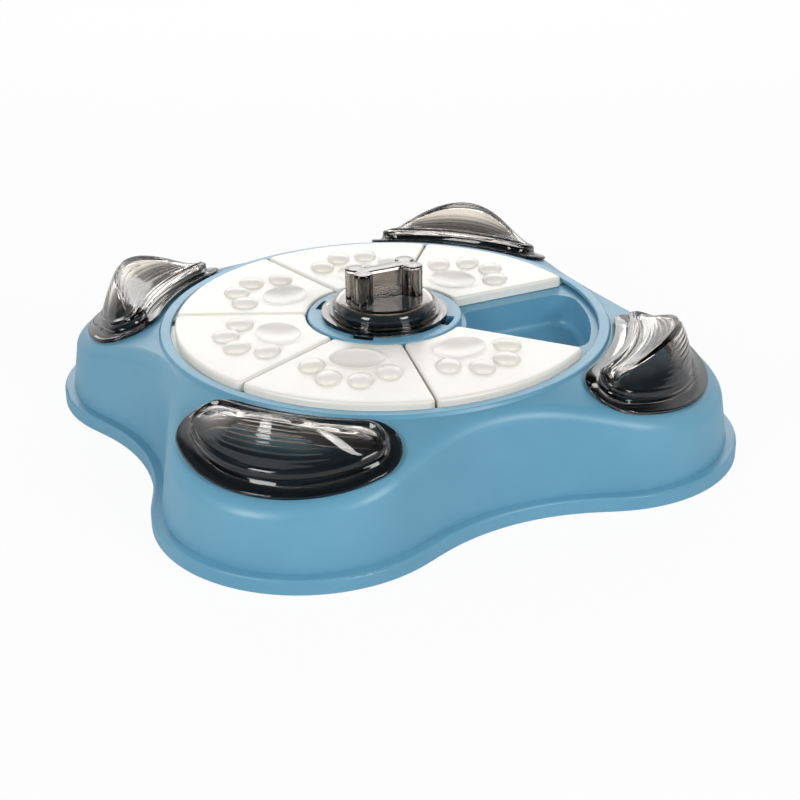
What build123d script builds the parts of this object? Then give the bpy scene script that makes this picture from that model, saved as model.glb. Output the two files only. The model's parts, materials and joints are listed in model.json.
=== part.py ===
from build123d import *

import math
import os

# Dog puzzle feeder: a four-lobed moulded casing carries a round treat tray whose
# seven wedge pockets are covered by six sliding paw tiles, with one place left free
# so that they can shift. A bayonet knob closes a centre cup, and a lift-off cap
# closes a kidney-shaped treat well on each lobe.
# Millimetres, origin on the ground under the middle of the disc, +Z up.
# The lobes lie on the diagonals, and the free tile place lies just below +X.

# ---------------------------------------------------------------- casing
BASE_LIFT = 0.8            # casing edge above the ground, set by the rubber feet
RIM_TOP = 50.0             # top of the rim round the tiles
RIM_RADIUS = 100.0         # opening inside the rim
RIM_BAND = 4.6             # flat top of the rim
RIM_FLANK = 0.9            # run of the sloping outer flank of the rim
RIM_ROUND = 0.7            # rounding of the rim's two top edges
RIM_STEP = 1.5             # rim top above the roof that falls away from it
ROOF_SLOPE = 0.33          # fall of the conical roof per millimetre outwards
SHELL_WALL = 2.5
LIP_THICKNESS = 1.6        # overhang that traps the tongues of the tiles
COLLAR_GAP = 0.3           # tray edge to the collar inside the casing
TONGUE_REACH = 2.6         # undercut below the lip, beyond the opening
COLLAR_DEPTH = 10.0        # collar bottom below the underside of the lip

LOBE_COUNT = 4
FIRST_LOBE = 45.0          # direction of the first lobe, degrees from +X
LOBE_BORDER = 3.3          # shoulder of a lobe outside the edge of its cap
LOBE_TIGHTER = 0.6         # arc of the shoulder, smaller than the arc of the cap
WAIST_BORDER = 5.0         # shoulder of a waist outside the rim
LOBE_SPREAD = 11.0         # foot of the wall outside the shoulder, at a lobe
LOBE_FLARE = 10.5          # arc of the foot, larger than the arc of the shoulder
WAIST_SPREAD = 10.7
SHOULDER_STRAIGHT = 21.8  # straight run between a lobe's arc and a waist's arc
FOOT_STRAIGHT = 9.19
FOOT_STEP_HEIGHT = 6.5     # upright skirt at the foot of the wall
FOOT_STEP_WIDTH = 3.7      # ledge that the skirt stands proud of the wall
FOOT_STEP_ROUND = 1.2
SHOULDER_ROUND = 8.0

# ---------------------------------------------------------------- lobe wells and caps
CAP_RADIUS = 56.6          # outer arc of the cap flange
CAP_ARC_BACK = 5.4         # middle of that arc, in from the opening of the rim
CAP_RIM_GAP = 1.9          # inner arc of the flange, outside the rim
CAP_CORNER = 16.0          # rounding of its two ends
CAP_FLANGE = 2.0
CAP_SEAT_GAP = 0.3         # flange above the roof
CAP_WALL = 2.2
BOSS_INSET = 6.0           # raised body inside the edge of the flange
BOSS_HEIGHT = 5.2          # its upright wall above the flange
CREST_SETBACK = 8.9        # top of the fin, in from the outer wall of the boss
CREST_ABOVE_RIM = 13.5
CREST_BOW = 0.0155         # the crest curls inwards by this times its offset squared
CREST_END = 7.4            # end of the crest, in from the end of the boss
CREST_ARCH = 1.02          # exponent of the arch of the crest
INNER_HOLLOW = 1.6         # exponent of the hollow inner slope
OUTER_BULGE = 1.6          # exponents of the bulging outer face
OUTER_STEEPNESS = 0.9
FIN_MARGIN = 1.1           # the fin's surface is defined this far past the ends of the boss
GRID_ALONG = 3.0           # spacing of the points that define it, along the crest
FIN_ROWS = (-1.4, -1, -0.8, -0.6, -0.4, -0.2, 0, 0.2, 0.4, 0.6, 0.8, 0.93, 1.05, 1.5)
FIN_TOLERANCE = 0.05
PROBE_COUNT = 16           # directions and shares of the wall where its thickness is probed
PROBE_REACHES = (0.5, 0.85, 1.0)
WELL_BORDER = 1.0          # treat well inside the wall of the boss
WELL_FLOOR = 22.0
SKIRT_CLEARANCE = 0.5      # cap skirt to the wall of the well
SKIRT_WALL = 1.8
SKIRT_DEPTH = 4.0          # below the roof

# ---------------------------------------------------------------- paw tiles
TILE_INNER = 37.0
TILE_RIM_GAP = 2.0         # outer end of a tile, in from the opening of the rim
TILE_ABOVE_RIM = 2.2
TILE_RUN_GAP = 0.2         # tile above the deck
TILE_SIDE_GAP = 0.5        # each side of the border between two tiles
TILE_CORNER = 2.6
TILE_ROUND = 1.3
TILE_TOP_WALL = 2.8
TILE_SIDE_WALL = 2.6
TONGUE_SIDE = 3.0          # tongue edge in from the tile edge
TONGUE_CLEARANCE = 0.4
PAD_IN = 17.0              # middle of the paw's dish, out from the tile's inner end
PAD_RADIUS = 12.0
PAD_DEPTH = 1.6
TOE_RADIUS = 5.8
TOE_HEIGHT = 2.6
TOE_SINK = 0.65            # part of the toe's dome that is set into the tile
SIDE_TOE = (11.7, 17.0)    # outer pair of toes: out from the dish, to each side
FRONT_TOE = (22.3, 7.2)    # middle pair

# ---------------------------------------------------------------- treat tray
DECK_BELOW_RIM = 3.0       # sliding deck below the rim top
DECK_THICKNESS = 3.0
TRAY_WALL = 2.0
TRAY_SKIRT_WALL = 2.5
PLACE_COUNT = 7            # pockets and tile places round the disc
POCKET_LAP = 1.5           # tile beyond the pocket, at both ends
POCKET_SIDE = 6.5          # pocket edge to the border between two places
POCKET_OUTER_CORNER = 10.0
POCKET_INNER_CORNER = 4.0
POCKET_DEPTH = 16.0
POCKET_FLOOR_ROUND = 3.5
CUP_DEPTH = 16.0

# ---------------------------------------------------------------- hub ring and knob
RING_TILE_GAP = 0.8        # edge of the ring to the inner ends of the tiles
RING_ABOVE_RIM = 2.0
RING_ROUND = 0.8
RING_BORDER = 3.0          # ring outside the notches
LUG_REACH = 3.9            # notch beyond the bayonet slot, for the foot of a lug
SLOT_WIDTH = 2.3
SLOT_FOOT_GAP = 0.6        # slot to the foot that stands on the deck
RING_FOOT_WIDTH = 6.4
RING_OVER_CUP = 2.0        # bore of the ring outside the cup
NOTCH_ANGLE = 20.0
LUG_COUNT = 4
LUG_CLEARANCE = 0.35
LUG_PLAY = 0.25            # lug below the underside of the ring
LUG_CHANNEL_DEPTH = 1.2
KNOB_TURN = 40.0           # bayonet travel, degrees

KNOB_OVER_SLOT = 0.3       # knob flange beyond the slot that it hides
KNOB_FLANGE = 2.0
KNOB_LEDGE = 3.6           # width of the flange round the raised step
KNOB_STEP = 1.0
STEP_LEDGE = 1.6           # width of the step round the dome
DOME_HEIGHT = 6.8          # above the flange
DOME_ROUND = 4.5
KNOB_WALL = 2.0
BONE_LOBE_REACH = 12.8     # bone-shaped grip: lobe centres along and across it
BONE_LOBE_SPREAD = 4.4
BONE_LOBE_RADIUS = 4.6
BONE_WAIST = 3.6           # half width of its shaft
BONE_HEIGHT = 14.7         # above the dome
BONE_ROUND = 0.9

# ---------------------------------------------------------------- feet and screws
PAD_FOOT_IN = 21.2         # rubber foot, in from the outer edge of the cap
PAD_FOOT_RADIUS = 8.0
PAD_FOOT_HEIGHT = 3.0
PAD_FOOT_ROUND = 0.4
PAD_FOOT_FIT = 0.05
PAD_STEM_RADIUS = 3.0
PAD_STEM_HEIGHT = 5.0
POST_WALL = 2.0
SCREW_OUT = 5.9            # tray screws, out from the collar
SCREW_FROM_LOBE = 27.0     # degrees to each side of a lobe
SCREW_BOSS_RADIUS = 4.2
EAR_THICKNESS = 2.5
EAR_RADIUS = 5.5
SHANK_RADIUS = 1.5
SHANK_FIT = 0.05
SCREW_HOLE = 1.8           # clearance hole in an ear or in the deck
HEAD_RADIUS = 3.0
HEAD_GAP = 0.4             # head of a hub screw to the wall of the cup
HEAD_HEIGHT = 2.0
HEAD_ROUND = 0.65
RECESS_LENGTH = 2.8        # cross recess: length and width of its arms
RECESS_WIDTH = 0.7
RECESS_DEPTH = 1.2
SHANK_CHAMFER = 0.5
TRAY_SCREW_LENGTH = 7.0
HUB_SCREW_LENGTH = 7.0
HUB_SCREW_COUNT = 4
TOUCH = 0.05               # two places this near count as the same

# ---------------------------------------------------------------- worked-out plan, from the rim
PITCH = 360.0 / PLACE_COUNT
TILE_OUTER = RIM_RADIUS - TILE_RIM_GAP
COLLAR_INNER = RIM_RADIUS + TONGUE_REACH
COLLAR_OUTER = COLLAR_INNER + SHELL_WALL
TRAY_RADIUS = COLLAR_INNER - COLLAR_GAP
RIM_OUTER = RIM_RADIUS + RIM_BAND + RIM_FLANK
SCREW_CIRCLE = COLLAR_OUTER + SCREW_OUT
CAP_CENTRE = RIM_RADIUS - CAP_ARC_BACK
CAP_REACH = CAP_CENTRE + CAP_RADIUS
CAP_INNER_RADIUS = RIM_OUTER + CAP_RIM_GAP
CREST_REACH = CAP_REACH - BOSS_INSET - CREST_SETBACK
WELL_INSET = BOSS_INSET + WELL_BORDER
PAD_FOOT_REACH = CAP_REACH - PAD_FOOT_IN
SHOULDER_LOBE_REACH = CAP_REACH + LOBE_BORDER
SHOULDER_LOBE_RADIUS = CAP_RADIUS - LOBE_TIGHTER
SHOULDER_WAIST_REACH = RIM_OUTER + WAIST_BORDER
FOOT_LOBE_REACH = SHOULDER_LOBE_REACH + LOBE_SPREAD
FOOT_LOBE_RADIUS = SHOULDER_LOBE_RADIUS + LOBE_FLARE
FOOT_WAIST_REACH = SHOULDER_WAIST_REACH + WAIST_SPREAD

# ---------------------------------------------------------------- worked-out plan, from the tiles inwards
POCKET_INNER = TILE_INNER + POCKET_LAP
POCKET_OUTER = TILE_OUTER - POCKET_LAP
PAD_REACH = TILE_INNER + PAD_IN
RING_RADIUS = TILE_INNER - RING_TILE_GAP
NOTCH_OUTER = RING_RADIUS - RING_BORDER     # wide part of a bayonet slot, where a lug goes in
SLOT_OUTER = NOTCH_OUTER - LUG_REACH        # narrow part, where the lug turns under the ring
SLOT_INNER = SLOT_OUTER - SLOT_WIDTH
RING_FOOT_OUTER = SLOT_INNER - SLOT_FOOT_GAP
RING_BORE = RING_FOOT_OUTER - RING_FOOT_WIDTH
CUP_RADIUS = RING_BORE - RING_OVER_CUP
HUB_SCREW_CIRCLE = CUP_RADIUS + TRAY_WALL + HEAD_GAP + HEAD_RADIUS
KNOB_FLANGE_RADIUS = SLOT_OUTER + KNOB_OVER_SLOT
KNOB_STEP_RADIUS = KNOB_FLANGE_RADIUS - KNOB_LEDGE
DOME_RADIUS = KNOB_STEP_RADIUS - STEP_LEDGE

# ---------------------------------------------------------------- worked-out levels
DECK_TOP = RIM_TOP - DECK_BELOW_RIM
DECK_BOTTOM = DECK_TOP - DECK_THICKNESS
LIP_BOTTOM = RIM_TOP - LIP_THICKNESS
COLLAR_BOTTOM = LIP_BOTTOM - COLLAR_DEPTH
ROOF_START = RIM_TOP - RIM_STEP
EAR_BOTTOM = COLLAR_BOTTOM - EAR_THICKNESS
POCKET_FLOOR = DECK_TOP - POCKET_DEPTH
RING_TOP = RIM_TOP + RING_ABOVE_RIM
TILE_TOP = RIM_TOP + TILE_ABOVE_RIM
TILE_BOTTOM = DECK_TOP + TILE_RUN_GAP
TONGUE_TOP = LIP_BOTTOM - TILE_RUN_GAP
CREST_TOP = RIM_TOP + CREST_ABOVE_RIM
KNOB_FLANGE_TOP = RING_TOP + KNOB_FLANGE
KNOB_STEP_TOP = KNOB_FLANGE_TOP + KNOB_STEP
DOME_TOP = KNOB_FLANGE_TOP + DOME_HEIGHT
BONE_TOP = DOME_TOP + BONE_HEIGHT           # top of the whole toy
STEM_TOP = PAD_FOOT_HEIGHT + PAD_STEM_HEIGHT
TRAY_SCREW_TOP = EAR_BOTTOM + TRAY_SCREW_LENGTH
HUB_SCREW_TOP = DECK_BOTTOM + HUB_SCREW_LENGTH
CHANNEL_BOTTOM = DECK_TOP - LUG_CHANNEL_DEPTH
LUG_BOTTOM = CHANNEL_BOTTOM + LUG_CLEARANCE
LUG_TOP = LIP_BOTTOM - LUG_PLAY


def roof_height(radius):
    """Height of the conical roof at a distance from the axis."""
    return ROOF_START - ROOF_SLOPE * (radius - RIM_OUTER)


def polar(radius, degrees, height=0.0):
    angle = math.radians(degrees)
    return Vector(radius * math.cos(angle), radius * math.sin(angle), height)


def turned(shape, degrees):
    return Rot(0, 0, degrees) * shape


def prism(sketch, bottom, top):
    """Upright solid of a flat outline between two heights."""
    return extrude(Pos(0, 0, bottom) * sketch, amount=top - bottom, dir=(0, 0, 1))


def ring(outer, inner, bottom, top):
    return prism(Circle(outer) - Circle(inner), bottom, top)


def revolved(points):
    """Solid turned about the axis from a closed (radius, height) outline."""
    outline = Polyline(*points, close=True)
    return revolve(Plane.XZ * make_face(outline), Axis.Z)


# ---------------------------------------------------------------- outlines
def waist_arc(lobe_reach, lobe_radius, waist_reach, straight):
    """Radius of a waist's hollow arc that leaves a straight run of this length to the lobe."""
    centre = polar(lobe_reach - lobe_radius, 180.0 / LOBE_COUNT)
    out = waist_reach - centre.X
    return (lobe_radius ** 2 + straight ** 2 - out ** 2 - centre.Y ** 2) / (2 * (out - lobe_radius))


def lobed_face(lobe_reach, lobe_radius, waist_reach, straight, inset=0.0):
    """Four lobes and four waists, joined by lines tangent to their arcs, and moved in."""
    waist_radius = waist_arc(lobe_reach, lobe_radius, waist_reach, straight) + inset
    lobe_reach -= inset
    lobe_radius -= inset
    waist_reach -= inset
    lobe_centre = polar(lobe_reach - lobe_radius, FIRST_LOBE)
    waist_centre = polar(waist_reach + waist_radius, 0)
    span = waist_centre - lobe_centre
    swing = math.degrees(math.acos((lobe_radius + waist_radius) / span.length))
    direction = math.degrees(math.atan2(span.Y, span.X)) + swing
    lobe_end = lobe_centre + polar(lobe_radius, direction)
    waist_end = waist_centre - polar(waist_radius, direction)
    lobe_angle = math.degrees(math.atan2(lobe_end.Y, lobe_end.X))
    waist_angle = math.degrees(math.atan2(waist_end.Y, waist_end.X))
    edges = []
    for k in range(LOBE_COUNT):
        lobe = FIRST_LOBE + 360.0 / LOBE_COUNT * k
        waist = lobe + 180.0 / LOBE_COUNT
        lobe_start = polar(lobe_end.length, lobe - FIRST_LOBE + lobe_angle)
        lobe_stop = polar(lobe_end.length, lobe + FIRST_LOBE - lobe_angle)
        waist_start = polar(waist_end.length, waist - waist_angle)
        waist_stop = polar(waist_end.length, waist + waist_angle)
        next_lobe = polar(lobe_end.length, waist + lobe_angle)
        edges.append(Edge.make_three_point_arc(lobe_start, polar(lobe_reach, lobe), lobe_stop))
        edges.append(Edge.make_line(lobe_stop, waist_start))
        edges.append(Edge.make_three_point_arc(waist_start, polar(waist_reach, waist), waist_stop))
        edges.append(Edge.make_line(waist_stop, next_lobe))
    return Face(Wire(edges))


def foot_face(inset):
    """Outline of the casing on the ground, moved in by a width all round."""
    return lobed_face(
        FOOT_LOBE_REACH, FOOT_LOBE_RADIUS, FOOT_WAIST_REACH, FOOT_STRAIGHT, inset)


def kidney(inset):
    """Cap outline on +X, moved in by a width all round, with rounded ends."""
    shape = Pos(CAP_CENTRE, 0) * Circle(CAP_RADIUS - inset)
    shape -= Circle(CAP_INNER_RADIUS + inset)
    return fillet(shape.vertices(), CAP_CORNER - inset)


def sector(inner, outer, side, corner_inner, corner_outer):
    """Flat sector of one tile place about +X, its straight sides moved in."""
    half = math.radians(PITCH / 2)
    reach = 2 * outer
    wedge = Polygon(
        (side / math.sin(half), 0),
        (side / math.sin(half) + reach, -reach * math.tan(half)),
        (side / math.sin(half) + reach, reach * math.tan(half)),
        align=None,
    )
    shape = (Circle(outer) - Circle(inner)) & wedge
    if corner_outer:
        outside = [v for v in shape.vertices() if Vector(v).length > (inner + outer) / 2]
        shape = fillet(outside, corner_outer)
    if corner_inner:
        inside = [v for v in shape.vertices() if Vector(v).length < (inner + outer) / 2]
        shape = fillet(inside, corner_inner)
    return shape


# ---------------------------------------------------------------- casing
def roof_solid(drop):
    """Everything under the roof and rim, lowered by a wall."""
    far = RIM_OUTER + (ROOF_START - drop) / ROOF_SLOPE
    return revolved([
        (0, 0),
        (far, 0),
        (RIM_OUTER, ROOF_START - drop),
        (RIM_OUTER - RIM_FLANK, RIM_TOP - drop),
        (0, RIM_TOP - drop),
    ])


def on_roof(point, drop):
    """True for a point on the cone of the roof, outside the rim."""
    radius = math.hypot(point.X, point.Y)
    return radius > RIM_OUTER + TOUCH and abs(point.Z + drop - roof_height(radius)) < TOUCH


def on_rim(edge):
    """True for the inner and the outer edge of the flat top of the rim."""
    point = edge @ 0.5
    radius = math.hypot(point.X, point.Y)
    ends = (RIM_RADIUS, RIM_RADIUS + RIM_BAND)
    return abs(point.Z - RIM_TOP) < TOUCH and any(abs(radius - end) < TOUCH for end in ends)


def casing_body(inset):
    """The lobed body without its skirt, moved in by a wall on every side."""
    bottom = foot_face(FOOT_STEP_WIDTH + inset)
    top = lobed_face(
        SHOULDER_LOBE_REACH,
        SHOULDER_LOBE_RADIUS,
        SHOULDER_WAIST_REACH,
        SHOULDER_STRAIGHT,
        inset,
    )
    walls = loft([Pos(0, 0, BASE_LIFT) * bottom, Pos(0, 0, RIM_TOP) * top], ruled=True)
    body = walls & roof_solid(inset)
    shoulder = [e for e in body.edges() if on_roof(e @ 0.5, inset) and on_roof(e @ 0.3, inset)]
    return fillet(shoulder, SHOULDER_ROUND - inset)


def lobe_angles():
    return [FIRST_LOBE + 360.0 / LOBE_COUNT * k for k in range(LOBE_COUNT)]


def screw_angles():
    """Tray screws sit in pairs, one to each side of every lobe."""
    return [lobe + side * SCREW_FROM_LOBE for lobe in lobe_angles() for side in (-1, 1)]


def base_shell():
    """Thin-walled casing, open below, with its treat wells, bosses and foot posts."""
    skirt = prism(foot_face(0), BASE_LIFT, BASE_LIFT + FOOT_STEP_HEIGHT)
    ledge = skirt.faces().sort_by(Axis.Z)[-1].edges()
    outside = casing_body(0) + fillet(ledge, FOOT_STEP_ROUND)
    room = prism(foot_face(SHELL_WALL), BASE_LIFT, BASE_LIFT + FOOT_STEP_HEIGHT - SHELL_WALL)
    shell = outside - (casing_body(SHELL_WALL) + room)
    shell += ring(COLLAR_OUTER, RIM_RADIUS, LIP_BOTTOM - LIP_THICKNESS, RIM_TOP) & outside
    shell += ring(COLLAR_OUTER, COLLAR_INNER, COLLAR_BOTTOM, LIP_BOTTOM)
    shell -= prism(Circle(COLLAR_INNER), COLLAR_BOTTOM, LIP_BOTTOM)
    shell -= prism(Circle(RIM_RADIUS), COLLAR_BOTTOM, RIM_TOP)
    for angle in lobe_angles():
        tub = prism(kidney(WELL_INSET - SHELL_WALL), WELL_FLOOR - SHELL_WALL, RIM_TOP)
        post = Pos(PAD_FOOT_REACH, 0) * prism(
            Circle(PAD_FOOT_RADIUS + PAD_FOOT_FIT + POST_WALL), BASE_LIFT, WELL_FLOOR)
        shell += turned((tub & turned(outside, -angle)) + post, angle)
    for angle in screw_angles():
        boss = Pos(SCREW_CIRCLE, 0) * prism(Circle(SCREW_BOSS_RADIUS), COLLAR_BOTTOM, RIM_TOP)
        shell += turned(boss, angle) & outside
    for angle in lobe_angles():
        well = prism(kidney(WELL_INSET), WELL_FLOOR, RIM_TOP)
        seat = Pos(PAD_FOOT_REACH, 0) * (
            prism(Circle(PAD_FOOT_RADIUS + PAD_FOOT_FIT), BASE_LIFT, PAD_FOOT_HEIGHT)
            + prism(Circle(PAD_STEM_RADIUS + PAD_FOOT_FIT), BASE_LIFT, STEM_TOP + PAD_FOOT_FIT))
        shell -= turned(well + seat, angle)
    for angle in screw_angles():
        pilot = Pos(SCREW_CIRCLE, 0) * prism(
            Circle(SHANK_RADIUS + SHANK_FIT), COLLAR_BOTTOM, TRAY_SCREW_TOP + SHANK_FIT)
        shell -= turned(pilot, angle)
    return fillet([e for e in shell.edges() if on_rim(e)], RIM_ROUND)


# ---------------------------------------------------------------- treat tray
def pocket_sketch(grow):
    """Plan of one pocket about +X, made larger by a wall all round."""
    return sector(
        POCKET_INNER - grow,
        POCKET_OUTER + grow,
        POCKET_SIDE - grow,
        POCKET_INNER_CORNER + grow,
        POCKET_OUTER_CORNER + grow,
    )


def place_angles():
    """Middle of each tile place, the free one last, just below +X."""
    return [PITCH * (k + 0.5) for k in range(PLACE_COUNT)]


def treat_tray():
    """Round tray with a wedge pocket for each place and a cup in the middle."""
    tray = ring(TRAY_RADIUS, CUP_RADIUS, DECK_BOTTOM, DECK_TOP)
    tray += ring(TRAY_RADIUS, TRAY_RADIUS - TRAY_SKIRT_WALL, EAR_BOTTOM, DECK_TOP)
    tray += prism(Circle(CUP_RADIUS + TRAY_WALL), DECK_TOP - CUP_DEPTH - TRAY_WALL, DECK_TOP)
    tub = prism(pocket_sketch(TRAY_WALL), POCKET_FLOOR - TRAY_WALL, DECK_TOP)
    hollow = prism(pocket_sketch(0), POCKET_FLOOR, DECK_TOP)
    floor_edges = hollow.faces().sort_by(Axis.Z)[0].edges()
    hollow = fillet(floor_edges, POCKET_FLOOR_ROUND)
    for angle in place_angles():
        tray += turned(tub, angle)
    ear = Pos(SCREW_CIRCLE, 0) * Circle(EAR_RADIUS)
    ear += Pos((SCREW_CIRCLE + TRAY_RADIUS) / 2 - TRAY_SKIRT_WALL / 2, 0) * Rectangle(
        SCREW_CIRCLE - TRAY_RADIUS + TRAY_SKIRT_WALL, 2 * EAR_RADIUS)
    for angle in screw_angles():
        tray += turned(prism(ear, EAR_BOTTOM, COLLAR_BOTTOM), angle)
    for angle in place_angles():
        tray -= turned(hollow, angle)
    tray -= prism(Circle(CUP_RADIUS), DECK_TOP - CUP_DEPTH, DECK_TOP)
    tray -= ring(NOTCH_OUTER, SLOT_INNER, CHANNEL_BOTTOM, DECK_TOP)
    for angle in screw_angles():
        hole = Pos(SCREW_CIRCLE, 0) * prism(Circle(SCREW_HOLE), EAR_BOTTOM, COLLAR_BOTTOM)
        tray -= turned(hole, angle)
    for angle in hub_screw_angles():
        hole = Pos(HUB_SCREW_CIRCLE, 0) * prism(Circle(SCREW_HOLE), DECK_BOTTOM, DECK_TOP)
        tray -= turned(hole, angle)
    return tray


# ---------------------------------------------------------------- hub ring and knob
def hub_screw_angles():
    """The ring's screws stand midway between the lugs."""
    return [360.0 / HUB_SCREW_COUNT * k for k in range(HUB_SCREW_COUNT)]


def lug_angles():
    """The lugs and notches face the lobes."""
    return [FIRST_LOBE + 360.0 / LUG_COUNT * k for k in range(LUG_COUNT)]


def arc_band(inner, outer, start, stop):
    """Flat band between two arcs about the axis, from one direction to another."""
    middle = (start + stop) / 2
    edges = [
        Edge.make_three_point_arc(polar(inner, start), polar(inner, middle), polar(inner, stop)),
        Edge.make_line(polar(inner, stop), polar(outer, stop)),
        Edge.make_three_point_arc(polar(outer, stop), polar(outer, middle), polar(outer, start)),
        Edge.make_line(polar(outer, start), polar(inner, start)),
    ]
    return Face(Wire(edges))


def hub_ring():
    """Retainer over the inner ends of the tiles, with a bayonet slot for each lug."""
    plate = ring(RING_RADIUS, RING_BORE, LIP_BOTTOM, RING_TOP)
    plate = fillet(plate.edges().sort_by(Axis.Z)[-2:].sort_by(SortBy.LENGTH)[-1:], RING_ROUND)
    plate += ring(RING_FOOT_OUTER, RING_BORE, DECK_TOP, LIP_BOTTOM)
    half = NOTCH_ANGLE / 2
    for angle in lug_angles():
        notch = arc_band(SLOT_INNER, NOTCH_OUTER, angle - half, angle + half)
        slot = arc_band(SLOT_INNER, SLOT_OUTER, angle - half, angle + half + KNOB_TURN)
        plate -= prism(notch, DECK_TOP, RING_TOP)
        plate -= prism(slot, DECK_TOP, RING_TOP)
    for angle in hub_screw_angles():
        pilot = Pos(HUB_SCREW_CIRCLE, 0) * prism(
            Circle(SHANK_RADIUS + SHANK_FIT), DECK_TOP, HUB_SCREW_TOP + SHANK_FIT)
        plate -= turned(pilot, angle)
    return plate


def bone(inset):
    """Bone outline of the grip, its length along X, moved in by a wall."""
    shape = Rectangle(2 * BONE_LOBE_REACH, 2 * (BONE_WAIST - inset))
    for x in (-1, 1):
        for y in (-1, 1):
            lobe = Circle(BONE_LOBE_RADIUS - inset)
            shape += Pos(x * BONE_LOBE_REACH, y * BONE_LOBE_SPREAD) * lobe
    return shape


def lug(angle):
    """Bayonet lug: a leg down through the slot and a foot that turns under the ring."""
    half = NOTCH_ANGLE / 2 - math.degrees(LUG_CLEARANCE / SLOT_INNER)
    inner = SLOT_INNER + LUG_CLEARANCE
    leg = arc_band(inner, SLOT_OUTER - LUG_CLEARANCE, angle - half, angle + half)
    foot = arc_band(inner, NOTCH_OUTER - LUG_CLEARANCE, angle - half, angle + half)
    return prism(leg, LUG_BOTTOM, RING_TOP) + prism(foot, LUG_BOTTOM, LUG_TOP)


def knob():
    """Hollow knob: flange, round dome and bone grip, with its bayonet lugs below."""
    dome = revolved([
        (0, RING_TOP),
        (KNOB_FLANGE_RADIUS, RING_TOP),
        (KNOB_FLANGE_RADIUS, KNOB_FLANGE_TOP),
        (KNOB_STEP_RADIUS, KNOB_FLANGE_TOP),
        (KNOB_STEP_RADIUS, KNOB_STEP_TOP),
        (DOME_RADIUS, KNOB_STEP_TOP),
        (DOME_RADIUS, DOME_TOP),
        (0, DOME_TOP),
    ])
    dome = fillet(dome.edges().group_by(Axis.Z)[-1], DOME_ROUND)
    grip = prism(bone(0), KNOB_STEP_TOP, BONE_TOP)
    grip = fillet(grip.faces().sort_by(Axis.Z)[-1].edges(), BONE_ROUND)
    under_dome = prism(Circle(DOME_RADIUS - KNOB_WALL), RING_TOP, DOME_TOP - KNOB_WALL)
    under_dome = fillet(under_dome.edges().group_by(Axis.Z)[-1], DOME_ROUND - KNOB_WALL)
    under_grip = prism(bone(KNOB_WALL), RING_TOP, BONE_TOP - KNOB_WALL)
    body = dome + grip - under_dome - under_grip
    for angle in lug_angles():
        body += lug(angle)
    return body


# ---------------------------------------------------------------- corner caps
def boss_top(out, along):
    """Height of the shoulder of the cap's raised body, over the sloping roof."""
    return roof_height(math.hypot(out, along)) + CAP_SEAT_GAP + CAP_FLANGE + BOSS_HEIGHT


def cap_half_length(inset):
    """Half length of the cap's outline moved in by a width, from the arcs at its ends."""
    from_centre = CAP_RADIUS - CAP_CORNER
    from_axis = CAP_INNER_RADIUS + CAP_CORNER
    out = (from_axis ** 2 - from_centre ** 2 + CAP_CENTRE ** 2) / (2 * CAP_CENTRE)
    return math.sqrt(from_axis ** 2 - out ** 2) + CAP_CORNER - inset


def crest_half():
    return cap_half_length(BOSS_INSET) - CREST_END


def boss_outer(along):
    return CAP_CENTRE + math.sqrt((CAP_RADIUS - BOSS_INSET) ** 2 - along ** 2)


def boss_inner(along):
    return math.sqrt((CAP_INNER_RADIUS + BOSS_INSET) ** 2 - along ** 2)


def crest_out(along):
    """Distance of the crest from the axis; it curls inwards towards its ends."""
    return CREST_REACH - CREST_BOW * along ** 2


def cap_top(out, along):
    """Height of the cap's upper surface: a shell-shaped fin whose crest arches over the
    boss, hollow on the side of the tiles and bulging on the outer side."""
    base = boss_top(out, along)
    if abs(along) >= crest_half():
        return base
    crest = crest_out(along)
    arch = (1 - (along / crest_half()) ** 2) ** CREST_ARCH
    rise = (CREST_TOP - boss_top(CREST_REACH, 0)) * arch
    if out > crest:
        share = min(1.0, (out - crest) / (boss_outer(along) - crest))
        return base + rise * (1 - share ** OUTER_BULGE) ** OUTER_STEEPNESS
    share = min(1.0, (crest - out) / (crest - boss_inner(along)))
    return base + rise * (1 - share) ** INNER_HOLLOW


def cap_underside(out, along):
    """The same surface, a wall further in, measured square to it."""
    depths = [cap_top(out, along) - CAP_WALL]
    for k in range(PROBE_COUNT):
        for reach in PROBE_REACHES:
            turn = math.tau * k / PROBE_COUNT
            side = reach * CAP_WALL
            height = cap_top(out + side * math.cos(turn), along + side * math.sin(turn))
            depths.append(height - math.sqrt(CAP_WALL ** 2 - side ** 2))
    return min(depths)


def below(height_at):
    """Everything under a surface over the boss, on rows of points that run along the
    crest, so that the sharp top of the fin lies on one of the rows."""
    reach = cap_half_length(BOSS_INSET) + FIN_MARGIN
    steps = round(reach / GRID_ALONG)
    rows = []
    for share in FIN_ROWS:
        row = []
        for j in range(-steps, steps + 1):
            along = reach * j / steps
            crest = crest_out(along)
            if share > 0:
                out = crest + share * (boss_outer(along) - crest)
            else:
                out = crest + share * (crest - boss_inner(along))
            row.append(Vector(out, along, height_at(out, along)))
        rows.append(row)
    surface = Face.make_surface_from_array_of_points(rows, tol=FIN_TOLERANCE)
    return extrude(surface, amount=CREST_TOP, dir=(0, 0, -1))


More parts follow.
